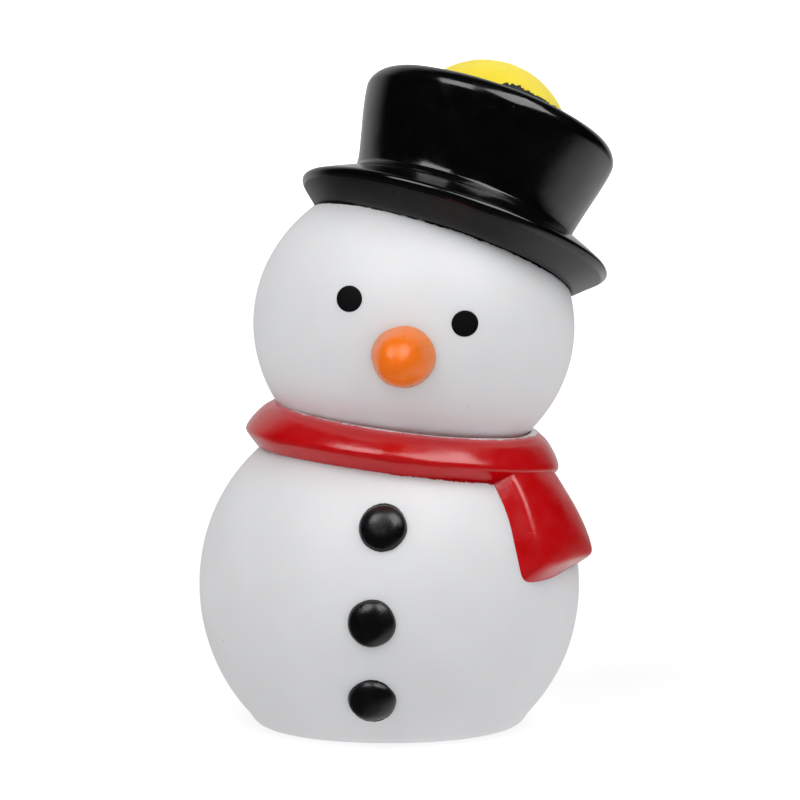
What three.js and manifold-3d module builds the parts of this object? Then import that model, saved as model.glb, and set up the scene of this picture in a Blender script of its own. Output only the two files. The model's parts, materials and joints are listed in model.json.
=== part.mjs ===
// A soft vinyl snowman that pops a foam ball out of its top hat when its belly is squeezed.
// Millimetres, +Z up. The origin is the middle of the flat base, the toy's buttons face -Y,
// and its head, scarf and hat lean towards +X.
import * as THREE from "three";
import { mergeVertices } from "three/addons/utils/BufferGeometryUtils.js";
import Module from "manifold-3d";

const wasm = await Module();
wasm.setup();

// ---- driving dimensions ----
const GAP = 0.3; // between pieces that touch
const WALL = 2.4; // rotomoulded vinyl
const HAT_WALL = 2.1;
const BALL_R = 15.9; // a 1 1/4 inch foam ball

const BELLY_R = 35.2;
const BELLY_HALF_HEIGHT = 34.8;
const BELLY_Z = 26.3; // the belly's middle above the base
const BASE_EDGE_R = 3.0; // the rounding between the base and the side

const NECK_LEAN = 7.3; // degrees
const NECK_BACK = -3; // the scarf dips at the front
const NECK = new THREE.Vector3(2.5, 0, 52.7); // the middle of the scarf
const NECK_CUT = 1.4; // where belly and head meet, above the scarf's middle

const SCARF_R = 28.9;
const SCARF_TOP = 4.7; // above the scarf's middle
const SCARF_BOTTOM = -3.2;

const HEAD = new THREE.Vector3(4.55, 0, 74.2);
const HEAD_R = 29.6;
const HEAD_HALF_HEIGHT = 27.7;
const HEAD_LEAN = 6.5;
const HEAD_BACK = 4;

const BRIM = new THREE.Vector3(11.9, 2.6, 92.2); // the middle of the brim's rim
const BRIM_LEAN = 17.7;
const BRIM_BACK = 12.6;
const BRIM_R = 29.4;

const CROWN_LEAN = 1.1; // beyond the brim's
const CROWN_BACK = 0.9;
const CROWN_FOOT_R = 20.9;
const CROWN_TOP_R = 24.0;
const CROWN_FOOT = 4.6; // heights above the brim's rim
const CROWN_TOP = 23.0;
const CROWN_EDGE_R = 2.6;

const HOLE_R = 16.9; // the hole in the top of the crown
const LIP_TOP = 25.1; // the soft lip around the hole stands above the crown
const BALL_HEIGHT = 16.4; // the ball's middle above the brim's rim
const BORE_R = BALL_R + 0.4;
const BARREL_R = 17.8;
const BARREL_FOOT = -4.6; // the end of the barrel inside the head
const BARREL_FLANGE = 1.4;
const BARREL_TOP = 19.9;
const SEAT_HOLE_R = 12.2;
const SEAT_FOOT = 2.5;
const SEAT_INNER_TOP = 5.8;
const SEAT_OUTER_TOP = 9.5;

const BUTTON_R = 4.15;
const BUTTON_RISE = 1.9;
// Across and up.
const BUTTONS = { button_top: [1.2, 40.1], button_middle: [-0.5, 23.5], button_bottom: [-0.8, 9.1] };
const PATCH_R = 8.6; // the parts of the belly's wall that a thumb and fingers press
const PATCH_Z = BUTTONS.button_middle[1];

const EYE_R = 2.35;
const EYES = { eye_right: [-9.6, 5.8], eye_left: [10.8, 1.5] }; // across and up from the head's middle
const NOSE_AT = [0.1, -4.2];
const NOSE_R = 5.5;
const NOSE_LENGTH = 8.6;

const TAIL_ROUND = 65; // degrees from the front towards +X
const TAIL_THICKNESS = 3.7;
const TAIL_SLIP = 1.2; // its outer face is the belly's shape, grown and let down by this

// ---- tools ----
const rad = THREE.MathUtils.degToRad;

// A closed geometry as a solid that can be cut and joined.
function solid(geometry) {
  const bare = geometry.clone();
  bare.deleteAttribute("normal");
  bare.deleteAttribute("uv");
  const merged = mergeVertices(bare, 1e-4);
  return new wasm.Manifold(
    new wasm.Mesh({
      numProp: 3,
      vertProperties: merged.attributes.position.array,
      triVerts: new Uint32Array(merged.index.array),
    }),
  );
}

// A solid back as a geometry for a mesh.
function geometryOf(shape) {
  const { vertProperties, triVerts } = shape.getMesh();
  const geometry = new THREE.BufferGeometry();
  geometry.setAttribute("position", new THREE.BufferAttribute(vertProperties, 3));
  geometry.setIndex(new THREE.BufferAttribute(triVerts, 1));
  geometry.computeVertexNormals();
  return geometry;
}

// A profile of [radius, height] pairs turned about +Z, listed so that the material is on its left.
function turned(profile, segments) {
  const points = profile.map(([r, z]) => new THREE.Vector2(r, z));
  return solid(new THREE.LatheGeometry(points, segments).rotateX(Math.PI / 2));
}

// The same profile closed on itself, for a ring.
function ring(profile, segments) {
  return turned([...profile, profile[0]], segments);
}

function ellipsoid(r, halfHeight, segments, rings) {
  const ball = new THREE.SphereGeometry(1, segments, rings).rotateX(Math.PI / 2);
  return solid(ball.scale(r, r, halfHeight));
}

// Points on an arc in a profile, from one angle to another in degrees.
function arc(r, z, radius, from, to, steps) {
  return Array.from({ length: steps + 1 }, (_, i) => {
    const a = rad(from + ((to - from) * i) / steps);
    return [r + radius * Math.cos(a), z + radius * Math.sin(a)];
  });
}

function cylinderAlongY(radius, from, to, segments) {
  const rod = new THREE.CylinderGeometry(radius, radius, to - from, segments);
  return solid(rod.translate(0, (from + to) / 2, 0));
}

function frame(parent, position, lean, back) {
  const group = new THREE.Group();
  group.position.copy(position);
  group.rotation.set(-rad(back), rad(lean), 0, "YXZ");
  parent.add(group);
  return group;
}

// A solid of one group's frame, as another group's frame sees it.
function seenFrom(shape, home, viewer) {
  toy.updateMatrixWorld(true);
  const matrix = viewer.matrixWorld.clone().invert().multiply(home.matrixWorld);
  return shape.transform(matrix.elements);
}

function add(group, name, shape, material) {
  const mesh = new THREE.Mesh(geometryOf(shape), material);
  mesh.name = name;
  group.add(mesh);
}

function finish(color, roughness) {
  return new THREE.MeshStandardMaterial({ color, roughness, metalness: 0 });
}

const white = finish(0xe6e5ea, 0.45);
const black = finish(0x0a0a0b, 0.3);
const red = finish(0xb30008, 0.28);
const orange = finish(0xf07a12, 0.4);
const yellow = finish(0xf7dc46, 0.95);
const tubeGrey = finish(0x2a2b2e, 0.5);

// ---- frames ----
const toy = new THREE.Group();
const neck = frame(toy, NECK, NECK_LEAN, NECK_BACK);
const head = frame(toy, HEAD, HEAD_LEAN, HEAD_BACK);
const face = frame(toy, HEAD, 0, 0);
const brimFrame = frame(toy, BRIM, BRIM_LEAN, BRIM_BACK);
const crownFrame = frame(brimFrame, new THREE.Vector3(), CROWN_LEAN, CROWN_BACK);
const tailFrame = new THREE.Group();
tailFrame.rotation.z = rad(TAIL_ROUND);
toy.add(tailFrame);

// ---- shapes that several pieces share ----

// The belly's outline grown by some amount, as a solid.
function belly(grow, segments, steps) {
  const r = BELLY_R + grow;
  const h = BELLY_HALF_HEIGHT + grow;
  const floor = -grow;
  const edge = BASE_EDGE_R + grow;
  // The side is an ellipse from just above the base to the top.
  const startAngle = -Math.asin((BELLY_Z - BASE_EDGE_R * 0.62) / h);
  const side = Array.from({ length: steps + 1 }, (_, i) => {
    const a = startAngle + ((Math.PI / 2 - startAngle) * i) / steps;
    return [i === steps ? 0 : r * Math.cos(a), BELLY_Z + h * Math.sin(a)];
  });
  const flat = side[0][0] - edge * 1.05;
  const corner = [[flat, floor], [flat + edge * 0.62, floor + edge * 0.16]];
  return turned([[0, floor], ...corner, ...side], segments);
}

function headBall(grow, segments, steps) {
  return ellipsoid(HEAD_R + grow, HEAD_HALF_HEIGHT + grow, segments, steps);
}

// A slab that holds everything above (or below) the cut between belly and head, in the neck's frame.
function neckHalf(side) {
  const size = 160;
  const box = new THREE.BoxGeometry(size, size, size);
  return solid(box.translate(0, 0, NECK_CUT + side * (size / 2 - GAP / 2)));
}

// The rod along the hat's middle that the barrel needs clear.
function barrelWay(radius) {
  return turned([[0, -14], [radius, -14], [radius, 40], [0, 40]], 40);
}

// A rod through the front (side -1) or the back (side 1) of the belly.
function patchRod(radius, side) {
  const ends = [0, side * 60].sort((a, b) => a - b);
  return cylinderAlongY(radius, ...ends, 32).translate(0, 0, PATCH_Z);
}

// ---- belly and its two squeezed patches ----
const bellyWall = belly(0, 44, 18)
  .subtract(belly(-WALL, 32, 12))
  .subtract(seenFrom(neckHalf(1), neck, toy));
const clearOfPatches = (wall, side) => wall.subtract(patchRod(PATCH_R + GAP, side));
add(toy, "belly_shell", [-1, 1].reduce(clearOfPatches, bellyWall), white);
add(toy, "belly_front_patch", bellyWall.intersect(patchRod(PATCH_R, -1)), white);
add(toy, "belly_back_patch", bellyWall.intersect(patchRod(PATCH_R, 1)), white);

// ---- head ----
const headWall = headBall(0, 44, 24)
  .subtract(headBall(-WALL, 32, 18))
  .subtract(seenFrom(neckHalf(-1), neck, head))
  .subtract(seenFrom(barrelWay(BARREL_R + GAP), crownFrame, head));
add(head, "head_shell", headWall, white);

// ---- scarf ----
const scarfUnder = [[26.0, SCARF_BOTTOM], [28.3, -2.0], [SCARF_R, -0.9], [28.6, 0.4]];
const scarfFace = [[27.5, 2.3], [26.1, 4.1], [24.6, SCARF_TOP]];
const scarfSection = [[19.5, SCARF_BOTTOM], ...scarfUnder, ...scarfFace, [19.5, SCARF_TOP]];
const wrap = ring(scarfSection, 44)
  .subtract(seenFrom(belly(GAP, 44, 18), toy, neck))
  .subtract(seenFrom(headBall(GAP, 44, 24), head, neck));
add(neck, "scarf_wrap", wrap, red);

function tailPrism() {
  const outline = new THREE.Shape();
  outline.moveTo(-9.7, 50);
  outline.lineTo(-11.8, 31.4);
  outline.quadraticCurveTo(-12.0, 28.9, -9.6, 28.9);
  outline.lineTo(10.8, 30.6);
  outline.quadraticCurveTo(13.8, 30.9, 13.4, 33.8);
  outline.lineTo(6.8, 50);
  const slab = new THREE.ExtrudeGeometry(outline, { depth: 60, bevelEnabled: false, curveSegments: 4 });
  return solid(slab.rotateX(Math.PI / 2));
}
const besideScarf = scarfUnder.map(([r, z]) => [r + GAP, z]);
const scarfSweep = [...besideScarf, [SCARF_R, 12], [0, 12], [0, SCARF_BOTTOM - GAP]];
const tail = tailPrism()
  .intersect(belly(TAIL_THICKNESS, 64, 26).translate(0, 0, -TAIL_SLIP))
  .subtract(belly(GAP, 44, 18))
  .subtract(seenFrom(ring(scarfSweep, 44), neck, tailFrame));
add(tailFrame, "scarf_tail", tail, red);

// ---- hat ----
const brimTop = [[17.9, CROWN_FOOT], [20.6, CROWN_FOOT], [24.0, 3.1], [26.8, 1.8], [28.6, 0.8]];
const brimRim = [[BRIM_R, -0.1], [29.1, -0.9], [27.6, -2.3], [24.4, -5.0]];
const brimInside = [[22.4, -4.4], [26.4, -0.9], [26.6, -0.4], [26.0, 0.3], [23.6, 1.4], [17.9, 2.6]];
const brim = ring([...brimTop, ...brimRim, ...brimInside].reverse(), 44)
  .subtract(seenFrom(headBall(GAP, 44, 24), head, brimFrame))
  .subtract(seenFrom(barrelWay(BARREL_R + GAP), crownFrame, brimFrame));
add(brimFrame, "hat_brim", brim, black);

const crownCeiling = CROWN_TOP - HAT_WALL;
const crownFoot = [[CROWN_FOOT_R - 0.6, 2.6], [CROWN_FOOT_R, CROWN_FOOT]];
const crownSide = [...crownFoot, [22.5, 12], [CROWN_TOP_R - 0.2, 17.6]];
const crownEdge = arc(CROWN_TOP_R - CROWN_EDGE_R, CROWN_TOP - CROWN_EDGE_R, CROWN_EDGE_R, 0, 90, 5);
const crownHole = [[HOLE_R, CROWN_TOP], [HOLE_R, crownCeiling]];
const crownInside = [[20.4, crownCeiling], [21.4, 17.8], [20.2, 12], [18.6, CROWN_FOOT], [18.3, 2.6]];
const aboveBrim = brimTop.slice(1).map(([r, z]) => [r, z + GAP]);
const brimSweep = [[0, CROWN_FOOT + GAP], ...aboveBrim, [29, -9], [0, -9]].reverse();
const crown = ring([...crownSide, ...crownEdge, ...crownHole, ...crownInside], 44)
  .subtract(seenFrom(turned(brimSweep, 44), brimFrame, crownFrame));
add(crownFrame, "hat_crown", crown, black);

const lipR = HOLE_R - GAP;
const lipFoot = [[15.6, crownCeiling], [lipR, crownCeiling - 0.3], [lipR, CROWN_TOP - 0.1]];
const lipRidge = [[15.7, LIP_TOP - 0.4], [14.8, LIP_TOP], [14.2, LIP_TOP - 0.4]];
const lipSection = [...lipFoot, ...lipRidge, [15.0, CROWN_TOP - 0.1]];
add(crownFrame, "muzzle_lip", ring(lipSection, 40), black);

// ---- barrel, seat and ball ----
const barrelFlange = [[20.0, BARREL_FOOT], [20.0, BARREL_FOOT + BARREL_FLANGE]];
const barrelSide = [[BARREL_R, BARREL_FOOT + BARREL_FLANGE], [BARREL_R, BARREL_TOP]];
const barrelSection = [[BORE_R, BARREL_FOOT], ...barrelFlange, ...barrelSide, [BORE_R, BARREL_TOP]];
const barrel = ring(barrelSection, 40).subtract(
  seenFrom(headBall(0, 44, 24).subtract(headBall(-WALL - GAP, 32, 18)), head, crownFrame)
    .subtract(barrelWay(BARREL_R + GAP / 2)),
);
add(crownFrame, "barrel", barrel, tubeGrey);

const seatR = BORE_R - GAP;
const seatOutside = [[seatR, SEAT_FOOT], [seatR, SEAT_OUTER_TOP]];
const seatSection = [[SEAT_HOLE_R, SEAT_FOOT], ...seatOutside, [SEAT_HOLE_R, SEAT_INNER_TOP]];
add(crownFrame, "ball_seat", ring(seatSection, 40), tubeGrey);

add(crownFrame, "foam_ball", ellipsoid(BALL_R, BALL_R, 32, 16).translate(0, 0, BALL_HEIGHT), yellow);

// ---- buttons, nose and eyes ----

// A dome on the belly's front whose middle is at a height, square to the surface.
function button([across, height]) {
  const slope = Math.asin((height - BELLY_Z) / BELLY_HALF_HEIGHT);
  const side = [[0, -3], [BUTTON_R, -3], [BUTTON_R, 0.25]];
  const dome = turned([...side, [BUTTON_R * 0.84, 1.05], [BUTTON_R * 0.5, 1.65], [0, BUTTON_RISE]], 24);
  return dome
    .rotate([90 - THREE.MathUtils.radToDeg(slope), 0, 0])
    .translate(across, -BELLY_R * Math.cos(slope), height)
    .subtract(belly(GAP, 44, 18));
}
for (const [name, place] of Object.entries(BUTTONS)) add(toy, name, button(place), black);

function onFace([across, up]) {
  const away = Math.sqrt(1 - (across ** 2 + up ** 2) / HEAD_R ** 2) * HEAD_R;
  return [across, -away, up];
}

const headAsFaceSees = (grow) => seenFrom(headBall(grow, 44, 24), head, face);

const noseSide = [[NOSE_R, -3], [NOSE_R, 0.8], [5.0, 3.4], [3.8, 6.2], [2.3, 8.0]];
const noseProfile = [[0, -3], ...noseSide, [0, NOSE_LENGTH]];
const nose = turned(noseProfile, 24)
  .rotate([97, 0, -2])
  .translate(onFace(NOSE_AT))
  .subtract(headAsFaceSees(GAP));
add(face, "nose", nose, orange);

for (const [name, [across, up]] of Object.entries(EYES)) {
  const disc = cylinderAlongY(EYE_R, -40, 0, 24)
    .translate(across, 0, up)
    .intersect(headAsFaceSees(GAP + 0.4))
    .subtract(headAsFaceSees(GAP));
  add(face, name, disc, black);
}

export default toy;
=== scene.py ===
"""A soft vinyl snowman that pops a foam ball out of its hat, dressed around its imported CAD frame.

Lengths in the tables below are in millimetres, in the CAD's own frame; MM turns them into metres.
"""
import json
import math

import bmesh
import bpy
import numpy as np
from mathutils import Matrix, Vector, noise


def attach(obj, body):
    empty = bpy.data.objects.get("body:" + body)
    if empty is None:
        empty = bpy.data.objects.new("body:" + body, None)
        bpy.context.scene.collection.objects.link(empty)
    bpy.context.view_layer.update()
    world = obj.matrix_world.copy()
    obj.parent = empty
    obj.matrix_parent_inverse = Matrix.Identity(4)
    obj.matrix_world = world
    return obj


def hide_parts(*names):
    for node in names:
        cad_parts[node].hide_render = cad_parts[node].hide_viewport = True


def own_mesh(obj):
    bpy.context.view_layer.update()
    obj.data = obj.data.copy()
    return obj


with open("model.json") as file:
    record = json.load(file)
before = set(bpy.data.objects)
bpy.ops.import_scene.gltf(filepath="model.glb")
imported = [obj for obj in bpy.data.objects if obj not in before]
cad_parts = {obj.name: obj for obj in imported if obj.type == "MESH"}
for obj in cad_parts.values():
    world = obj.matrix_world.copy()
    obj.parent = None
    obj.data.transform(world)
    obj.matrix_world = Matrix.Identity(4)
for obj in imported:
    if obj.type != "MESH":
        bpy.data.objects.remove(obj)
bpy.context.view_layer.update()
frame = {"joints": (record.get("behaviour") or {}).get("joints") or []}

MM = 0.001
WALL = 2.4

# ---- the toy's driving dimensions: the CAD's own, or a few tenths of a millimetre from them ----
BELLY_R = 35.2
BELLY_HALF_HEIGHT = 34.8
BELLY_Z = 26.3
BELLY_FLAT_R = 21.6
BELLY_LOWEST = -42.5  # the angle below its middle where the belly's side turns into its rounded edge

NECK = (2.5, 0.0, 52.7)
NECK_LEAN, NECK_BACK = 7.3, -3.0
NECK_CUT = 1.4
SCARF_RISE = 1.9  # how much higher the scarf's lower edge runs in front
SCARF_FRONT_BACK = 3.4  # about the same, in degrees, for the edge of the paint below it

HEAD = (4.55, 0.0, 74.2)
HEAD_LEAN, HEAD_BACK = 6.5, 4.0
HEAD_R = 29.6
HEAD_HALF_HEIGHT = 27.7

BRIM = (11.9, 2.6, 92.2)
BRIM_LEAN, BRIM_BACK = 17.7, 12.6
CROWN_LEAN, CROWN_BACK = 1.1, 0.9
CROWN_TOP = 23.0
HOLE_R = 16.4

BALL_R = 15.9
BALL_HEIGHT = 16.4

# Where each sprayed colour ends, along its own piece's axis.
RED_TO = -3.85
RED_FROM_BARE = 4.93
BLACK_TO = -5.15

BUTTON_R = 4.1
BUTTONS = {"top": (1.2, 40.1), "middle": (-0.5, 23.5), "bottom": (-0.8, 9.1)}
EYE_R = 2.32
EYES = {"right": (-9.6, 5.8), "left": (10.8, 1.5)}
NOSE_AT = (0.0, -4.3)
TAIL_ROUND = 65  # degrees from the front towards +X
TAIL_THICK = 3.3

PRESS_DEPTH = next(joint["range_m"][1] for joint in frame["joints"] if joint["name"] == "belly_squeeze") / MM
PRESS_FLAT_R = 5.5
PRESS_EDGE_R = 23.0


# ---- frames ----
def placed(position, lean, back):
    """A frame at a position, leaning towards +X and then tipped back, both in degrees."""
    turn = Matrix.Rotation(math.radians(lean), 4, "Y") @ Matrix.Rotation(math.radians(-back), 4, "X")
    return Matrix.Translation(Vector(position)) @ turn


TOY = Matrix.Identity(4)
NECK_FRAME = placed(NECK, NECK_LEAN, NECK_BACK)
HEAD_FRAME = placed(HEAD, HEAD_LEAN, HEAD_BACK)
BRIM_FRAME = placed(BRIM, BRIM_LEAN, BRIM_BACK)
CROWN_FRAME = BRIM_FRAME @ placed((0, 0, 0), CROWN_LEAN, CROWN_BACK)
TAIL_FRAME = Matrix.Rotation(math.radians(TAIL_ROUND), 4, "Z")


# ---- mesh tools ----
def finished(name, bm, place=TOY, recalc=True):
    """A bmesh in millimetres as a smooth object in metres, in the row frame."""
    if recalc:
        bmesh.ops.recalc_face_normals(bm, faces=bm.faces)
    mesh = bpy.data.meshes.new(name)
    bm.transform(Matrix.Scale(MM, 4) @ place)
    bm.to_mesh(mesh)
    bm.free()
    mesh.shade_smooth()
    piece = bpy.data.objects.new(name, mesh)
    bpy.context.scene.collection.objects.link(piece)
    return piece


def arc(r, z, radius, start, end, steps):
    """Profile points on an arc between two angles in degrees."""
    angles = np.radians(np.linspace(start, end, steps + 1))
    return [(r + radius * math.cos(a), z + radius * math.sin(a)) for a in angles]


def softened(points, rounds=3, closed=False):
    """A profile with its corners cut away again and again, so that it becomes a smooth curve."""
    points = [Vector(p) for p in points]
    for _ in range(rounds):
        pairs = list(zip(points, points[1:] + points[:1])) if closed else list(zip(points, points[1:]))
        cut = [q for a, b in pairs for q in (a.lerp(b, 0.25), a.lerp(b, 0.75))]
        points = cut if closed else [points[0]] + cut[1:-1] + [points[-1]]
    return [tuple(p) for p in points]


def turned(profile, segments=160, closed=False):
    """A bmesh of a profile of (radius, height) pairs turned about +Z. A radius of 0 makes one point."""
    bm = bmesh.new()
    rings = []
    for r, z in profile:
        if r < 1e-6:
            rings.append([bm.verts.new((0, 0, z))])
            continue
        angles = [2 * math.pi * i / segments for i in range(segments)]
        rings.append([bm.verts.new((r * math.sin(a), -r * math.cos(a), z)) for a in angles])
    pairs = list(zip(rings, rings[1:] + rings[:1])) if closed else list(zip(rings, rings[1:]))
    for a, b in pairs:
        for i in range(segments):
            j = (i + 1) % segments
            corners = [a[i % len(a)], a[j % len(a)], b[j % len(b)], b[i % len(b)]]
            unique = list(dict.fromkeys(corners))
            if len(unique) > 2:
                bm.faces.new(unique)
    return bm


def cut_away(bm, point, normal):
    """Removes what lies beyond a plane, on the side its normal points to."""
    geometry = bm.verts[:] + bm.edges[:] + bm.faces[:]
    bmesh.ops.bisect_plane(bm, geom=geometry, plane_co=point, plane_no=normal, clear_outer=True)


def moved(bm, shift):
    """Moves each point by what a function of its place says."""
    for v in bm.verts:
        v.co += Vector(shift(v.co))
    return bm


def wavy(bm, amount, size, seed=0.0):
    """The slight unevenness of a hand-sculpted, hot-cast form: swells about as wide as size."""
    bm.normal_update()
    for v in bm.verts:
        v.co += v.normal * amount * noise.noise(v.co / size + Vector((seed, seed, seed)))
    return bm


def hollow(piece, thickness=WALL):
    """Gives a skin its wall, inwards."""
    wall = piece.modifiers.new("wall", "SOLIDIFY")
    wall.thickness = thickness * MM
    wall.offset = -1
    wall.use_even_offset = False
    return piece


# ---- material tools ----
class Paint:
    """A node material around one Principled shader, with short names for what it uses."""

    def __init__(self, name, **inputs):
        self.material = bpy.data.materials.new(name)
        self.material.use_nodes = True
        self.tree = self.material.node_tree
        self.shader = self.tree.nodes["Principled BSDF"]
        for key, value in inputs.items():
            self.shader.inputs[key.replace("_", " ")].default_value = value
        self.place = self.node("ShaderNodeTexCoord").outputs["Object"]
        self.bump_normal = None

    def node(self, kind, **settings):
        made = self.tree.nodes.new(kind)
        for key, value in settings.items():
            setattr(made, key, value)
        return made

    def put(self, value, socket):
        if isinstance(value, bpy.types.NodeSocket):
            self.tree.links.new(value, socket)
        else:
            socket.default_value = value

    def noise(self, size_mm, detail=2.0, roughness=0.5, stretch=None):
        made = self.node("ShaderNodeTexNoise")
        made.inputs["Scale"].default_value = 1 / (size_mm * MM)
        made.inputs["Detail"].default_value = detail
        made.inputs["Roughness"].default_value = roughness
        place = self.place
        if stretch:
            scale = self.node("ShaderNodeVectorMath", operation="MULTIPLY")
            self.put(place, scale.inputs[0])
            scale.inputs[1].default_value = stretch
            place = scale.outputs[0]
        self.put(place, made.inputs["Vector"])
        return made.outputs["Fac"]

    def cells(self, size_mm, feature="F1", randomness=1.0):
        made = self.node("ShaderNodeTexVoronoi", feature=feature)
        made.inputs["Scale"].default_value = 1 / (size_mm * MM)
        made.inputs["Randomness"].default_value = randomness
        self.put(self.place, made.inputs["Vector"])
        return made.outputs["Distance"]

    def math(self, operation, a, b=0.0, c=0.0):
        made = self.node("ShaderNodeMath", operation=operation)
        for value, socket in zip((a, b, c), made.inputs):
            self.put(value, socket)
        return made.outputs[0]

    def span(self, value, low, high, to_low=0.0, to_high=1.0):
        """A value's way from low to high, smoothly, as a number between two others."""
        made = self.node("ShaderNodeMapRange", interpolation_type="SMOOTHSTEP")
        for key, amount in (("Value", value), ("From Min", low), ("From Max", high)):
            self.put(amount, made.inputs[key])
        made.inputs["To Min"].default_value = to_low
        made.inputs["To Max"].default_value = to_high
        return made.outputs["Result"]

    def along(self, position_mm, direction):
        """Distance in metres along a direction, from a position."""
        away = self.node("ShaderNodeVectorMath", operation="SUBTRACT")
        self.put(self.place, away.inputs[0])
        away.inputs[1].default_value = Vector(position_mm) * MM
        dot = self.node("ShaderNodeVectorMath", operation="DOT_PRODUCT")
        self.put(away.outputs[0], dot.inputs[0])
        dot.inputs[1].default_value = direction
        return dot.outputs["Value"]

    def from_line(self, position_mm, direction):
        """Distance in metres from a line through a position."""
        away = self.node("ShaderNodeVectorMath", operation="SUBTRACT")
        self.put(self.place, away.inputs[0])
        away.inputs[1].default_value = Vector(position_mm) * MM
        cross = self.node("ShaderNodeVectorMath", operation="CROSS_PRODUCT")
        self.put(away.outputs[0], cross.inputs[0])
        cross.inputs[1].default_value = direction
        length = self.node("ShaderNodeVectorMath", operation="LENGTH")
        self.put(cross.outputs[0], length.inputs[0])
        return length.outputs["Value"]

    def mixed(self, share, a, b):
        made = self.node("ShaderNodeMix", data_type="RGBA")
        for value, socket in zip((share, a, b), (made.inputs[0], made.inputs[6], made.inputs[7])):
            self.put(value if isinstance(value, (float, bpy.types.NodeSocket)) else (*value, 1.0), socket)
        return made.outputs[2]

    def colour(self, socket):
        self.put(socket, self.shader.inputs["Base Color"])

    def rough(self, socket):
        self.put(socket, self.shader.inputs["Roughness"])

    def bump(self, height, depth_mm, strength=1.0):
        made = self.node("ShaderNodeBump")
        made.inputs["Strength"].default_value = strength
        made.inputs["Distance"].default_value = depth_mm * MM
        self.put(height, made.inputs["Height"])
        if self.bump_normal:
            self.put(self.bump_normal, made.inputs["Normal"])
        self.bump_normal = made.outputs["Normal"]
        self.put(self.bump_normal, self.shader.inputs["Normal"])


WHITE = (0.80, 0.80, 0.815)
BLACK = (0.0022, 0.0022, 0.0025)
RED = (0.50, 0.0, 0.002)
RED_THIN = (0.66, 0.22, 0.25)


def direction_of(place, axis=(0, 0, 1)):
    return place.to_3x3() @ Vector(axis)


def ragged(paint, distance, wander_mm, sharp_mm=0.05):
    """A paint edge's distance made to wander, as sprayed paint's does at the edge of its mask."""
    coarse = paint.math("SUBTRACT", paint.noise(2.6, 3.0, 0.6), 0.5)
    fine = paint.math("SUBTRACT", paint.noise(0.45, 2.0, 0.6), 0.5)
    wander = paint.math("MULTIPLY", coarse, wander_mm * MM * 1.6)
    wander = paint.math("ADD", wander, paint.math("MULTIPLY", fine, wander_mm * MM))
    return paint.span(paint.math("ADD", distance, wander), -sharp_mm * MM, sharp_mm * MM)


def vinyl(name):
    """Rotomoulded white vinyl: satin, a little translucent, with a few specks of dust and overspray."""
    paint = Paint(name, Roughness=0.5, Subsurface_Weight=0.35, Subsurface_Scale=0.004, IOR=1.5)
    paint.shader.inputs["Specular IOR Level"].default_value = 0.3
    paint.shader.inputs["Subsurface Radius"].default_value = (1.0, 0.75, 0.65)
    cloud = paint.span(paint.noise(14, 2.0), 0.3, 0.7)
    white = paint.mixed(cloud, WHITE, (0.775, 0.775, 0.79))
    specks = paint.span(paint.cells(5.5), 0.018, 0.034, 1.0, 0.0)
    chosen = paint.span(paint.noise(9, 1.0), 0.60, 0.63)
    speckled = paint.math("MULTIPLY", paint.math("MULTIPLY", specks, chosen), 0.7)
    white = paint.mixed(speckled, white, (0.10, 0.08, 0.08))
    paint.rough(paint.span(paint.noise(6, 3.0), 0.2, 0.8, 0.43, 0.55))
    paint.bump(paint.noise(0.35, 2.0), 0.012)
    paint.bump(paint.noise(7, 1.0), 0.05)
    return paint, white


def belly_paint():
    """White, with the scarf's red overspray above and a black rim of overspray round each button."""
    paint, shade = vinyl("white_vinyl_belly")
    level = paint.along(NECK, direction_of(NECK_FRAME))
    front_level = paint.along(NECK, direction_of(placed(NECK, NECK_LEAN, NECK_BACK + SCARF_FRONT_BACK)))
    red_height = paint.math("SUBTRACT", paint.math("MINIMUM", level, front_level), RED_TO * MM)
    shade = paint.mixed(ragged(paint, red_height, 0.55), shade, RED)
    for across, up in BUTTONS.values():
        away = paint.from_line((across, 0, up), (0, 1, 0))
        inside = paint.math("SUBTRACT", (BUTTON_R + 0.02) * MM, away)
        front = paint.math("LESS_THAN", paint.along((0, 0, 0), (0, 1, 0)), 0.0)
        shade = paint.mixed(paint.math("MULTIPLY", ragged(paint, inside, 0.22), front), shade, BLACK)
    paint.colour(shade)
    return paint.material


def head_paint():
    """White, with the hat's black ending raggedly under the brim."""
    paint, shade = vinyl("white_vinyl_head")
    black_height = paint.math("SUBTRACT", paint.along(BRIM, direction_of(BRIM_FRAME)), BLACK_TO * MM)
    shade = paint.mixed(ragged(paint, black_height, 0.5), shade, BLACK)
    paint.colour(shade)
    return paint.material


def gloss_paint(name, colour, thin, roughness, peel=0.02):
    """Sprayed paint with a little orange peel, fine dust and short scratches."""
    paint = Paint(name, IOR=1.5)
    blotch = paint.span(paint.noise(5, 3.0), 0.35, 0.75)
    shade = paint.mixed(blotch, colour, thin)
    scratches = paint.noise(0.5, 2.0, 0.6, stretch=(0.06, 0.4, 1.0))
    scuffed = paint.span(scratches, 0.67, 0.72)
    where = paint.span(paint.noise(8, 1.0), 0.52, 0.62)
    scuffed = paint.math("MULTIPLY", scuffed, where)
    base_rough = paint.span(paint.noise(3, 3.0), 0.25, 0.75, roughness - 0.05, roughness + 0.06)
    paint.rough(paint.math("ADD", base_rough, paint.math("MULTIPLY", scuffed, 0.18)))
    paint.bump(paint.noise(0.55, 2.0, 0.55), peel)
    paint.bump(paint.noise(4.5, 2.0), 0.05)
    paint.bump(scuffed, -0.004)
    return paint, shade


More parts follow.
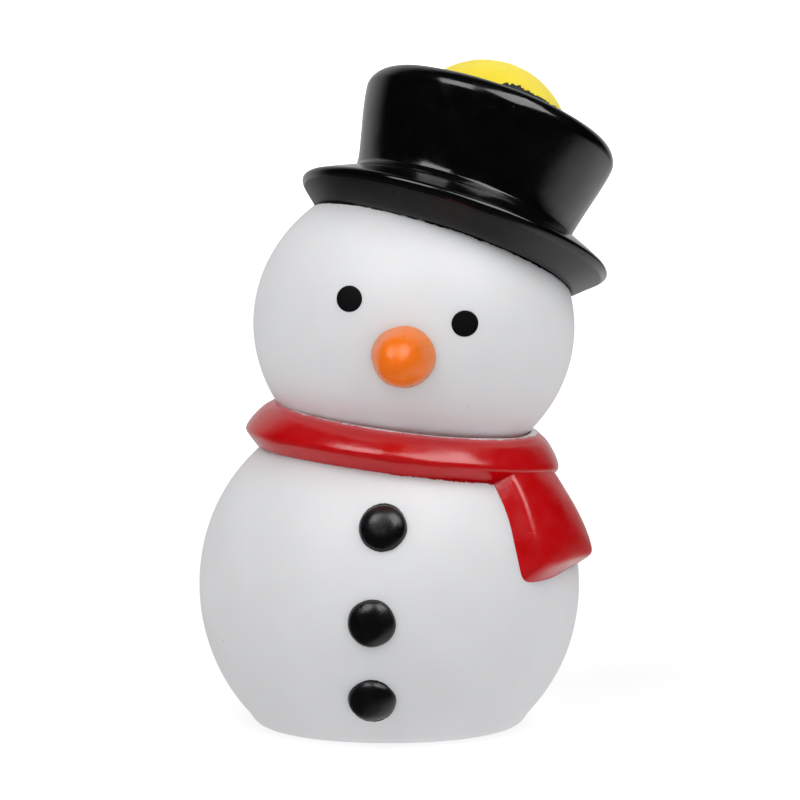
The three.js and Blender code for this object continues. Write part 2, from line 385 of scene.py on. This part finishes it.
def black_paint():
    """The hat's gloss black with dust caught in it, and duller overspray under the brim."""
    paint, shade = gloss_paint("gloss_black", BLACK, (0.003, 0.003, 0.0035), 0.14, 0.012)
    dust = paint.span(paint.cells(2.2), 0.02, 0.05, 1.0, 0.0)
    chosen = paint.span(paint.noise(7, 1.0), 0.56, 0.62)
    dusty = paint.math("MULTIPLY", paint.math("MULTIPLY", dust, chosen), 0.35)
    shade = paint.mixed(dusty, shade, (0.3, 0.3, 0.3))
    paint.colour(shade)
    under = paint.span(paint.along(BRIM, direction_of(BRIM_FRAME)), -1.5 * MM, -0.9 * MM, 0.42, 0.0)
    paint.rough(paint.math("MAXIMUM", paint.shader.inputs["Roughness"].links[0].from_socket, under))
    return paint.material


def lip_paint():
    """The lip's rough trimmed vinyl, which takes no shine."""
    paint = Paint("lip_black", IOR=1.45)
    paint.colour(paint.mixed(paint.noise(0.8, 3.0), (0.003, 0.003, 0.0035), (0.008, 0.008, 0.009)))
    paint.rough(paint.span(paint.noise(0.6, 2.0), 0.3, 0.7, 0.6, 0.8))
    paint.bump(paint.noise(0.4, 3.0), 0.05)
    return paint.material


def button_paint():
    """The buttons' black, a little grainier than the hat's."""
    paint, shade = gloss_paint("button_black", BLACK, (0.005, 0.005, 0.006), 0.30, 0.03)
    paint.shader.inputs["Specular IOR Level"].default_value = 0.42
    paint.colour(shade)
    return paint.material


def red_paint():
    """The scarf's red, thinning to bare vinyl where its top edge meets the head."""
    paint, shade = gloss_paint("gloss_red", RED, (0.54, 0.0, 0.003), 0.20, 0.03)
    height = paint.along(NECK, direction_of(NECK_FRAME))
    bare = ragged(paint, paint.math("SUBTRACT", height, RED_FROM_BARE * MM), 0.22, 0.10)
    thin = paint.span(height, 4.2 * MM, 4.8 * MM, 0.0, 0.3)
    paint.colour(paint.mixed(bare, paint.mixed(thin, shade, RED_THIN), WHITE))
    paint.shader.inputs["Specular IOR Level"].default_value = 0.5
    return paint.material


def orange_paint(nose_axis_point, nose_axis):
    """Thin orange over white vinyl: deep in the middle, pinkish and patchy towards the base."""
    paint = Paint("mottled_orange", IOR=1.5, Subsurface_Weight=0.25, Subsurface_Scale=0.002)
    paint.shader.inputs["Subsurface Radius"].default_value = (1.0, 0.35, 0.1)
    paint.shader.inputs["Specular IOR Level"].default_value = 0.32
    height = paint.along(nose_axis_point, nose_axis)
    patch = paint.math("MULTIPLY", paint.math("SUBTRACT", paint.noise(3.0, 3.0, 0.6), 0.5), 9 * MM)
    deep = paint.span(paint.math("ADD", height, patch), 0.6 * MM, 5.5 * MM)
    shade = paint.mixed(deep, (0.82, 0.22, 0.05), (0.92, 0.18, 0.0))
    paint.colour(shade)
    paint.rough(paint.span(paint.noise(1.5, 2.0), 0.3, 0.7, 0.27, 0.36))
    paint.bump(paint.noise(0.5, 2.0), 0.02)
    paint.bump(paint.noise(3.0, 2.0), 0.10)
    return paint.material


def eye_ink():
    """Pad-printed ink: flat, a little uneven."""
    paint = Paint("eye_ink", IOR=1.5)
    paint.shader.inputs["Specular IOR Level"].default_value = 0.06
    paint.colour(paint.mixed(paint.noise(0.8, 3.0), (0.002, 0.002, 0.003), (0.006, 0.006, 0.007)))
    paint.rough(paint.span(paint.noise(0.6, 2.0), 0.3, 0.7, 0.38, 0.5))
    paint.bump(paint.noise(0.25, 2.0), 0.01)
    return paint.material


def yellow_foam():
    """Soft closed-cell foam: fine pores whose pits are darkened with painted shade, a powdery edge and no
    gloss.
    """
    paint = Paint("yellow_foam", Roughness=0.95, Sheen_Weight=0.25, Sheen_Roughness=0.6,
                  Subsurface_Weight=0.3, Subsurface_Scale=0.0015)
    paint.shader.inputs["Subsurface Radius"].default_value = (1.0, 0.8, 0.2)
    paint.shader.inputs["Specular IOR Level"].default_value = 0.15
    pores = paint.span(paint.cells(0.42), 0.05, 0.30)
    grain = paint.noise(0.22, 3.0, 0.6)
    shade = paint.mixed(paint.span(paint.noise(4, 3.0), 0.3, 0.7), (0.95, 0.73, 0.012), (0.96, 0.77, 0.025))
    # painted shade: the bottoms of the pores, where the bump sinks, are coloured a darker yellow
    deep = paint.math("MULTIPLY", paint.math("SUBTRACT", 1.0, pores), 0.35)
    shade = paint.mixed(deep, shade, (0.70, 0.46, 0.01))
    paint.colour(shade)
    paint.bump(pores, 0.05)
    paint.bump(grain, 0.05)
    return paint.material


def barrel_plastic():
    """Dark moulded plastic with faint lengthways tool marks."""
    paint = Paint("barrel_plastic", IOR=1.46)
    marks = paint.noise(0.5, 2.0, 0.5, stretch=(1.0, 1.0, 0.08))
    paint.colour(paint.mixed(paint.noise(4, 3.0), (0.018, 0.018, 0.02), (0.03, 0.03, 0.033)))
    paint.rough(paint.span(marks, 0.3, 0.7, 0.42, 0.58))
    paint.bump(marks, 0.02)
    return paint.material


# ---- the squeeze ----
def press_share(across, up):
    """How far the wall gives, from 1 under the thumb to 0 outside the dent."""
    centre = BUTTONS["middle"]
    away = math.hypot(across - centre[0], up - centre[1])
    t = min(max((away - PRESS_FLAT_R) / (PRESS_EDGE_R - PRESS_FLAT_R), 0.0), 1.0)
    return 1 - t * t * t * (t * (6 * t - 15) + 10)


def give_group():
    """Geometry nodes that let each point follow the squash only by its own share."""
    group = bpy.data.node_groups.new("give", "GeometryNodeTree")
    group.interface.new_socket("Geometry", in_out="INPUT", socket_type="NodeSocketGeometry")
    group.interface.new_socket("Geometry", in_out="OUTPUT", socket_type="NodeSocketGeometry")
    nodes, links = group.nodes, group.links
    entry, leave = nodes.new("NodeGroupInput"), nodes.new("NodeGroupOutput")
    rest = nodes.new("GeometryNodeInputNamedAttribute")
    rest.data_type = "FLOAT_VECTOR"
    rest.inputs["Name"].default_value = "rest_place"
    share = nodes.new("GeometryNodeInputNamedAttribute")
    share.data_type = "FLOAT"
    share.inputs["Name"].default_value = "give"
    here = nodes.new("GeometryNodeInputPosition")
    change = nodes.new("ShaderNodeVectorMath")
    change.operation = "SUBTRACT"
    links.new(here.outputs[0], change.inputs[0])
    links.new(rest.outputs["Attribute"], change.inputs[1])
    scaled = nodes.new("ShaderNodeVectorMath")
    scaled.operation = "SCALE"
    links.new(change.outputs[0], scaled.inputs[0])
    links.new(share.outputs["Attribute"], scaled.inputs["Scale"])
    total = nodes.new("ShaderNodeVectorMath")
    total.operation = "ADD"
    links.new(rest.outputs["Attribute"], total.inputs[0])
    links.new(scaled.outputs[0], total.inputs[1])
    place = nodes.new("GeometryNodeSetPosition")
    links.new(entry.outputs[0], place.inputs["Geometry"])
    links.new(total.outputs[0], place.inputs["Position"])
    links.new(place.outputs[0], leave.inputs[0])
    return group


GIVE = give_group()
PRESS_KEEP = 1 - PRESS_DEPTH / BELLY_R


def gives(piece):
    """Lets a piece of the belly dent under thumb and fingers as belly_squeeze moves."""
    mesh = piece.data
    places, shares = [], []
    for v in mesh.vertices:
        x, y, z = v.co / MM
        depth = abs(y) * (1 - PRESS_KEEP)
        wanted = PRESS_DEPTH * press_share(x, z)
        places.extend(v.co)
        shares.append(wanted / depth if depth > 0.5 else 0.0)
    mesh.attributes.new("rest_place", "FLOAT_VECTOR", "POINT").data.foreach_set("vector", places)
    mesh.attributes.new("give", "FLOAT", "POINT").data.foreach_set("value", shares)
    modifier = piece.modifiers.new("give", "NODES")
    modifier.node_group = GIVE
    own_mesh(piece)
    return piece


# ---- belly ----
def belly_radius(z, grow=0.0):
    """The belly's radius at a height, grown outwards by some amount."""
    height = (z - BELLY_Z) / (BELLY_HALF_HEIGHT + grow)
    return (BELLY_R + grow) * math.sqrt(max(0.0, 1 - height * height))


def belly_profile():
    """The flat base, its rounded edge and the side, from the middle of the base upwards."""
    heights = BELLY_Z + BELLY_HALF_HEIGHT * np.sin(np.radians(np.linspace(BELLY_LOWEST, 80, 100)))
    side = [(belly_radius(z), z) for z in heights]
    edge_r, edge_z = side[0]
    corner = softened([(BELLY_FLAT_R - 5, 0), (BELLY_FLAT_R, 0), (edge_r - 1.4, 0.75), (edge_r, edge_z)], 4)
    return [(0, 0), (6, 0), (12, 0)] + corner[:-1] + side


def make_belly():
    """The lower body as one skin, open at the neck, which dents when it is squeezed."""
    bm = turned(belly_profile(), 200)
    top = NECK_FRAME @ Vector((0, 0, NECK_CUT))
    cut_away(bm, top, direction_of(NECK_FRAME))
    wavy_side(bm)
    piece = finished("belly_skin", bm)
    piece.data.materials.append(belly_paint())
    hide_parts("belly_shell", "belly_front_patch", "belly_back_patch")
    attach(piece, "casting")
    gives(piece)
    hollow(piece)
    return piece


def wavy_side(bm):
    """Swells the belly's side a little unevenly, and leaves its flat base flat."""
    bm.normal_update()
    for v in bm.verts:
        rise = min(max(v.co.z / 8, 0.0), 1.0)
        v.co += v.normal * 0.12 * rise * noise.noise(v.co / 17)


# ---- head ----
def make_head():
    """The head between two cuts: at the neck, and just inside the hat."""
    angles = np.radians(np.linspace(-80, 88, 110))
    bm = turned([(HEAD_R * math.cos(a), HEAD_HALF_HEIGHT * math.sin(a)) for a in angles], 200)
    bm.transform(HEAD_FRAME)
    neck_normal = direction_of(NECK_FRAME)
    cut_away(bm, NECK_FRAME @ Vector((0, 0, NECK_CUT)), -neck_normal)
    cut_away(bm, BRIM_FRAME @ Vector((0, 0, 1.0)), direction_of(BRIM_FRAME))
    wavy(bm, 0.08, 15, 3.1)
    piece = finished("head_skin", bm)
    piece.data.materials.append(head_paint())
    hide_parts("head_shell")
    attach(piece, "casting")
    return hollow(piece)


# ---- scarf ----
SCARF_UNDER = [(21.5, -4.2), (25.6, -4.4), (26.6, -4.1), (27.4, -3.3), (28.2, -2.5), (28.75, -1.9)]
SCARF_EDGE = [(29.05, -1.5), (29.2, -0.95), (28.95, -0.1)]
SCARF_FACE = [(28.45, 0.85), (27.5, 2.25), (26.4, 3.5), (25.6, 4.05), (25.1, 4.4)]
SCARF_FILLET = [(24.7, 4.75), (24.0, 5.0), (23.0, 4.9), (21.5, 3.0)]
SCARF_SECTION = SCARF_UNDER + SCARF_EDGE + SCARF_FACE + SCARF_FILLET


def make_scarf():
    """The band round the neck, with a crisp lower edge and a fillet up to the head."""
    bm = turned(softened(SCARF_SECTION, 3, closed=True), 240, closed=True)
    moved(bm, lambda co: (0, 0, SCARF_RISE * max(0.0, -co.y / 29) * min(max((5.0 - co.z) / 6, 0.0), 1.0)))
    wavy(bm, 0.20, 11, 7.7)
    piece = finished("scarf_band", bm, NECK_FRAME)
    piece.data.materials.append(RED_MATERIAL)
    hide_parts("scarf_wrap")
    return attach(piece, "casting")


# The scarf's end seen square on, as (across, up), with up from the base.
TAIL_OUTLINE = [
    (-9.6, 52), (-10.4, 45), (-11.4, 38), (-11.9, 32.5), (-11.7, 29.4), (-9.4, 28.7), (-2, 29.4), (6, 30.2),
    (11.2, 30.6), (13.9, 31.4), (13.8, 34), (12.2, 39), (10.6, 45), (9.6, 52),
]


def tail_raise(inset, across, up):
    """How far the scarf's end stands off the belly: sloping sides, wider at its foot, and a crowned face."""
    low = min(max((37 - up) / 7, 0.0), 1.0) * min(max((12 - across) / 12, 0.25), 1.0)
    way = inset / (1.7 + 2.2 * low)
    side = TAIL_THICK * (way + 1 - math.hypot(way - 1, 0.16)) / 2 - 0.35
    crown = 0.6 * math.sin(min(inset / 9, 1.0) * math.pi / 2)
    flare = 1.1 * max(0.0, across / 14) ** 2 * max(0.0, (44 - up) / 14)
    return side + crown + flare * min(inset / 2, 1.0)


def make_tail():
    """The scarf's end, raised off the belly ring by ring from its outline inwards."""
    outline = [Vector(p) for p in softened(TAIL_OUTLINE, 3, closed=True)]
    middle = Vector((0.2, 41.0))
    insets = list(np.linspace(0, 4.8, 30)) + list(np.linspace(5.2, 10, 9))
    bm = bmesh.new()
    rings = []
    for inset in insets:
        ring = []
        for p in outline:
            inward = middle - p
            q = p + inward * min(inset / 10.6, 0.985)
            z = q.y
            r = belly_radius(z + 0.55, tail_raise(inset, q.x, z))
            y = -math.sqrt(max(r * r - q.x * q.x, 1.0))
            ring.append(bm.verts.new((q.x, y, z)))
        rings.append(ring)
    back = [bm.verts.new((v.co.x, v.co.y + 2.0, v.co.z)) for v in rings[0]]
    rings.insert(0, back)
    count = len(outline)
    for a, b in zip(rings, rings[1:]):
        for i in range(count):
            j = (i + 1) % count
            bm.faces.new((a[i], a[j], b[j], b[i]))
    bm.faces.new(rings[0])
    bm.faces.new(rings[-1])
    wavy(bm, 0.18, 7, 1.9)
    piece = finished("scarf_end", bm, TAIL_FRAME)
    piece.data.materials.append(RED_MATERIAL)
    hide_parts("scarf_tail")
    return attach(piece, "casting")


# ---- hat ----
def make_brim():
    """A thin rim between a top that falls away from the crown and an underside that rises from the head."""
    top = [(18.3, 4.4), (20.4, 4.55), (22.0, 3.95), (24.0, 3.1), (26.6, 1.9), (28.4, 0.95)]
    rim = [(29.2, 0.5), (29.55, -0.1), (29.35, -0.75), (28.75, -1.35)]
    under = [(27.4, -2.5), (26.0, -3.75), (24.6, -5.0), (23.6, -5.0)]
    inside = [(23.2, -4.2), (26.2, -1.3), (26.6, -0.3), (25.6, 0.6), (22.8, 1.9), (18.6, 2.8)]
    bm = turned(softened(top + rim + under + inside, 3, closed=True), 240, closed=True)
    wavy(bm, 0.14, 12, 5.2)
    piece = finished("brim_skin", bm, BRIM_FRAME)
    piece.data.materials.append(BLACK_MATERIAL)
    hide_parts("hat_brim")
    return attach(piece, "casting")


def make_crown():
    """A crown that flares upwards from a small fillet on the brim and rounds over to a crisp top edge."""
    foot = [(22.2, 3.4), (21.5, 4.05), (21.1, 4.5), (20.95, 5.0), (21.05, 6.6)]
    side = [(21.6, 9.0), (22.35, 12.0), (23.1, 14.8), (23.75, 17.6)]
    edge = arc(20.7, 19.7, 3.4, 0, 65, 8) + [(21.85, 22.92), (21.2, 23.05), (18.6, 23.05)]
    hole = [(17.4, CROWN_TOP - 0.15), (HOLE_R + 0.3, CROWN_TOP - 0.7)]
    outside = softened(foot + side + edge + hole, 4)
    ceiling = [(HOLE_R + 0.3, CROWN_TOP - 2.1), (20.6, CROWN_TOP - 2.2)]
    inside = ceiling + [(21.6, 18.0), (20.3, 12), (18.7, 5), (18.5, 3.6)]
    bm = turned(outside + inside, 240, closed=True)
    wavy(bm, 0.16, 13, 9.4)
    piece = finished("crown_skin", bm, CROWN_FRAME)
    piece.data.materials.append(BLACK_MATERIAL)
    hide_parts("hat_crown")
    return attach(piece, "casting")


FLASH = (0, 72)  # where the lip's trimmed edge stands up ragged, in degrees from the front towards +X


def make_lip():
    """The soft lip around the hole: a low ridge, left rough and standing where its flash was torn off."""
    foot = [(15.7, 20.9), (17.0, 20.9), (17.0, 23.0)]
    section = foot + [(16.4, 24.0), (15.6, 24.3), (14.9, 23.9), (15.2, 22.6)]
    bm = turned(softened(section, 2, closed=True), 420, closed=True)

    def torn(co):
        degrees = math.degrees(math.atan2(co.x, -co.y))
        at = Vector((math.radians(degrees) * 16, 0, 0))
        tear = noise.noise(at) + 0.6 * noise.noise(at * 2.7) + 0.2 * noise.noise(at * 6.1)
        start = min(max((degrees - FLASH[0]) / 4, 0.0), 1.0)
        stop = min(max((FLASH[1] - degrees) / 60, 0.0), 1.0)
        top = min(max((co.z - 23.2) / 0.9, 0.0), 1.0)
        return (0, 0, top * (0.12 * tear + start * stop * (1.05 + 0.45 * tear)))

    moved(bm, torn)
    wavy(bm, 0.06, 1.1, 2.2)
    piece = finished("lip_edge", bm, CROWN_FRAME)
    piece.data.materials.append(LIP_MATERIAL)
    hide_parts("muzzle_lip")
    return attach(piece, "casting")


# ---- barrel, seat and ball ----
def make_barrel():
    """The tube that guides the ball, with a flange at its foot."""
    section = softened([
        (16.3, -4.6), (20.0, -4.6), (20.0, -3.2), (18.4, -3.0), (17.8, -2.2), (17.8, 19.9), (16.4, 19.9),
        (16.3, 19.2),
    ], 1, closed=True)
    piece = finished("barrel_tube", turned(section, 160, closed=True), CROWN_FRAME)
    piece.data.materials.append(BARREL_MATERIAL)
    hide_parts("barrel")
    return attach(piece, "casting")


def make_seat():
    """The ring that the ball rests on, open in the middle for the air."""
    section = softened([(12.2, 2.5), (16.0, 2.5), (16.0, 9.5), (12.2, 5.8)], 1, closed=True)
    piece = finished("seat_ring", turned(section, 120, closed=True), CROWN_FRAME)
    piece.data.materials.append(BARREL_MATERIAL)
    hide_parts("ball_seat")
    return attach(piece, "casting")


def make_ball():
    """The foam ball, a little uneven and finely pitted."""
    angles = np.radians(np.linspace(-90, 90, 97))
    bm = turned([(BALL_R * math.cos(a) if abs(a) < 1.5707 else 0, BALL_R * math.sin(a)) for a in angles], 180)
    wavy(bm, 0.06, 3, 4.4)
    wavy(bm, 0.035, 0.5, 6.4)
    moved(bm, lambda co: (0, 0, BALL_HEIGHT))
    piece = finished("ball_foam", bm, CROWN_FRAME)
    piece.data.materials.append(yellow_foam())
    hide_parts("foam_ball")
    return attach(piece, "ball")


# ---- buttons, nose and eyes ----
def make_button(name, across, up):
    """A low dome square to the belly, a little uneven, with a soft foot."""
    slope = math.asin((up - BELLY_Z) / BELLY_HALF_HEIGHT)
    profile = softened([
        (BUTTON_R + 0.25, -0.6), (BUTTON_R + 0.05, 0.15), (BUTTON_R - 0.25, 0.75), (BUTTON_R - 1.2, 1.5),
        (1.8, 1.92), (0, 2.0),
    ], 3)
    bm = turned([(0, -0.7)] + profile, 96)
    wavy(bm, 0.10, 3.2, across * 3 + up)
    place = Matrix.Translation((across, -belly_radius(up), up)) @ Matrix.Rotation(math.pi / 2 - slope, 4, "X")
    piece = finished("button_dome_" + name, bm, place)
    piece.data.materials.append(BUTTON_MATERIAL)
    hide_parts("button_" + name)
    if name == "middle":
        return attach(piece, "front_wall")
    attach(piece, "casting")
    return gives(piece)


def on_head(across, up, raise_by=0.0):
    """The point of the head's front at a place across and up from its middle, and the way out there."""
    turn = HEAD_FRAME.to_3x3()
    radii = Vector((HEAD_R, HEAD_R, HEAD_HALF_HEIGHT)) + Vector((raise_by,) * 3)
    start = turn.transposed() @ Vector((across, -60, up))
    way = turn.transposed() @ Vector((0, 1, 0))
    p = Vector([start[i] / radii[i] for i in range(3)])
    d = Vector([way[i] / radii[i] for i in range(3)])
    a, b, c = d.dot(d), 2 * p.dot(d), p.dot(p) - 1
    t = (-b - math.sqrt(b * b - 4 * a * c)) / (2 * a)
    point = start + way * t
    outward = Vector([point[i] / radii[i] ** 2 for i in range(3)]).normalized()
    return HEAD_FRAME @ point, turn @ outward


def make_eye(name, across, up):
    """A disc of ink that follows the head's curve."""
    bm = bmesh.new()
    count = 72
    rings = []
    edge = [(1.0, -0.25), (1.0, 0.03), (0.975, 0.07), (0.93, 0.085)]
    for r, lift in edge + [(0.7, 0.09), (0.4, 0.09), (0.15, 0.09)]:
        ring = []
        for i in range(count):
            a = 2 * math.pi * i / count
            wobble = 1 + 0.012 * noise.noise(Vector((math.cos(a) * 2, math.sin(a) * 2, across)))
            reach = EYE_R * r * wobble
            point, _ = on_head(across + reach * math.cos(a), up + reach * math.sin(a), lift)
            ring.append(bm.verts.new(point))
        rings.append(ring)
    for a, b in zip(rings, rings[1:]):
        for i in range(count):
            j = (i + 1) % count
            bm.faces.new((a[i], a[j], b[j], b[i]))
    bm.faces.new(rings[-1])
    bm.faces.new(rings[0])
    piece = finished("eye_print_" + name, bm)
    piece.data.materials.append(EYE_MATERIAL)
    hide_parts("eye_" + name)
    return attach(piece, "casting")


def make_nose():
    """A stubby carrot with a soft foot and a blunt tip, bent a little down and to its right."""
    base, _ = on_head(*NOSE_AT)
    profile = softened([
        (5.7, -1.2), (5.5, 0.1), (5.3, 0.9), (5.05, 2.4), (4.5, 4.4), (3.5, 6.4), (2.2, 7.9), (0.95, 8.6),
        (0, 8.7),
    ], 3)
    bm = turned([(0, -1.3)] + profile, 96)
    wavy(bm, 0.35, 4.5, 8.8)
    moved(bm, lambda co: (-0.030 * max(co.z, 0) ** 1.5 * 0.6, 0, 0))
    turn = Matrix.Rotation(math.radians(-3), 4, "Z") @ Matrix.Rotation(math.radians(97), 4, "X")
    place = Matrix.Translation(base) @ turn
    piece = finished("nose_carrot", bm, place)
    piece.data.materials.append(orange_paint(base, direction_of(turn)))
    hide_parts("nose")
    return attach(piece, "casting")


# ---- studio ----
BOX_LEFT = 1.8
BOX_RIGHT = 1.5
BOX_SIZE = 0.4
BOX_DISTANCE = 0.75
BOX_ELEVATION = 50
SHINE = 5.4
SHINE_DISTANCE = 0.85
SHINE_HEIGHT = 0.52
FILL_UP = 0.52
FILL_DOWN = 0.88
FLOOR_GLOW = 0.45
REFLECT_RIGHT = 0.9
REFLECT_LEFT = 0.6
REFLECT_BELOW = 0.05
# Each box's side, azimuth and power, and the width of the twin that makes its highlight on gloss.
BOXES = (("left", -30, BOX_LEFT, 0.46), ("right", 54, BOX_RIGHT, 0.70))


def way_to(azimuth, elevation):
    """The direction of an azimuth, 0 in front towards -Y and 90 at +X, and an elevation, in degrees."""
    a, e = math.radians(azimuth), math.radians(elevation)
    return Vector((math.sin(a) * math.cos(e), -math.cos(a) * math.cos(e), math.sin(e)))


def soft_box(name, azimuth, distance, width, height, power, target=(0, 0, 0.06)):
    """A large soft light that faces the toy."""
    light = bpy.data.lights.new(name, "AREA")
    light.shape = "RECTANGLE"
    light.size = width
    light.size_y = height
    light.energy = power
    lamp = bpy.data.objects.new(name, light)
    away = way_to(azimuth, BOX_ELEVATION)
    lamp.location = Vector(target) + away * distance
    lamp.rotation_euler = away.to_track_quat("Z", "Y").to_euler()
    bpy.context.scene.collection.objects.link(lamp)
    return lamp


def emissive(piece, albedo, strength):
    """Gives a stage surface pale paper that glows by a number or a socket that a function makes."""
    paper = Paint("paper_" + piece.name, Roughness=0.9, Base_Color=(albedo, albedo, albedo, 1.0))
    paper.shader.inputs["Specular IOR Level"].default_value = 0.1
    paper.shader.inputs["Emission Color"].default_value = (1.0, 1.0, 1.0, 1.0)
    paper.put(strength(paper), paper.shader.inputs["Emission Strength"])
    piece.data.materials.append(paper.material)
    piece.visible_diffuse = False
    piece.visible_transmission = False


def floor_glow(paper):
    """Dimmer close to the toy, where its contact shadow shows, and white further out."""
    away = paper.from_line((0, 0, 0), (0, 0, 1))
    return paper.span(away, 0.05, 0.9, FLOOR_GLOW, 0.86)


def reflector_glow(paper):
    """What gloss sees of the studio: brighter below on the toy's left and behind it, and dim underneath."""
    right = paper.along((0, 0, 0), way_to(125, -50))
    left = paper.along((0, 0, 0), way_to(-165, 10))
    right = paper.span(right, 1.9, 3.1, 0.0, REFLECT_RIGHT)
    left = paper.span(left, 1.9, 3.1, 0.0, REFLECT_LEFT)
    below = paper.span(paper.along((0, 0, 0), (0, 0, 1)), -1.8, -0.3, REFLECT_BELOW, 0.0)
    return paper.math("ADD", paper.math("ADD", right, left), below)


def dome_mesh(radius, lowest):
    """A dome from its lowest elevation in degrees up to its top."""
    angles = np.radians(np.linspace(lowest, 90, 32))
    return turned([(radius * max(math.cos(a), 0), radius * math.sin(a)) for a in angles], 96)


def make_studio():
    """A pale floor and dome, two soft boxes each with a twin that only gloss shows, reflectors and a fill."""
    floor = finished("floor", turned([(r, -0.02) for r in (0, 60, 120, 400, 1200, 3900)], 96))
    emissive(floor, 0.75, floor_glow)
    floor.visible_glossy = False
    dome = finished("dome", dome_mesh(4000, -2))
    emissive(dome, 0.8, lambda paper: 1.0)
    dome.visible_glossy = False
    dome.visible_shadow = False
    reflectors = finished("reflectors", dome_mesh(3500, -90))
    emissive(reflectors, 0.0, reflector_glow)
    reflectors.visible_camera = False
    reflectors.visible_shadow = False

    for side, azimuth, power, width in BOXES:
        shading = soft_box("box_" + side, azimuth, BOX_DISTANCE, BOX_SIZE, BOX_SIZE, power)
        shading.visible_glossy = False
        shine_power = SHINE * width * SHINE_HEIGHT * math.pi
        shine = soft_box("shine_" + side, azimuth, SHINE_DISTANCE, width, SHINE_HEIGHT, shine_power)
        shine.visible_diffuse = False
    make_fill()
    bpy.context.scene.view_settings.view_transform = "Standard"


def make_fill():
    """An even light from all round, stronger from below as off a white table, that gloss doesn't show."""
    world = bpy.data.worlds.new("studio")
    bpy.context.scene.world = world
    world.use_nodes = True
    tree = world.node_tree
    background = tree.nodes["Background"]
    background.inputs["Color"].default_value = (1.0, 1.0, 1.0, 1.0)
    way = tree.nodes.new("ShaderNodeTexCoord").outputs["Generated"]
    parts = tree.nodes.new("ShaderNodeSeparateXYZ")
    tree.links.new(way, parts.inputs[0])
    ramp = tree.nodes.new("ShaderNodeMapRange")
    tree.links.new(parts.outputs["Z"], ramp.inputs["Value"])
    ends = {"From Min": -0.3, "From Max": 0.3, "To Min": FILL_DOWN, "To Max": FILL_UP}
    for key, amount in ends.items():
        ramp.inputs[key].default_value = amount
    tree.links.new(ramp.outputs[0], background.inputs["Strength"])
    world.cycles_visibility.glossy = False


CAMERA_AZIMUTH = 4
CAMERA_ELEVATION = 3.8
CAMERA_DISTANCE = 0.6
CAMERA_TARGET = (0.002, 0, 0.06037)


def make_camera():
    """A long lens a little to the toy's left and just above its middle."""
    camera = bpy.data.cameras.new("camera")
    camera.sensor_width = 36
    camera.lens = 146.2
    viewer = bpy.data.objects.new("camera", camera)
    away = way_to(CAMERA_AZIMUTH, CAMERA_ELEVATION)
    viewer.location = Vector(CAMERA_TARGET) + away * CAMERA_DISTANCE
    viewer.rotation_euler = away.to_track_quat("Z", "Y").to_euler()
    bpy.context.scene.collection.objects.link(viewer)
    bpy.context.scene.camera = viewer


RED_MATERIAL = red_paint()
BLACK_MATERIAL = black_paint()
LIP_MATERIAL = lip_paint()
BUTTON_MATERIAL = button_paint()
EYE_MATERIAL = eye_ink()
BARREL_MATERIAL = barrel_plastic()

make_camera()
make_belly()
make_head()
make_scarf()
make_tail()
make_brim()
make_crown()
make_lip()
make_barrel()
make_seat()
make_ball()
for button_name, button_place in BUTTONS.items():
    make_button(button_name, *button_place)
for eye_name, eye_place in EYES.items():
    make_eye(eye_name, *eye_place)
make_nose()
make_studio()

bpy.context.view_layer.update()
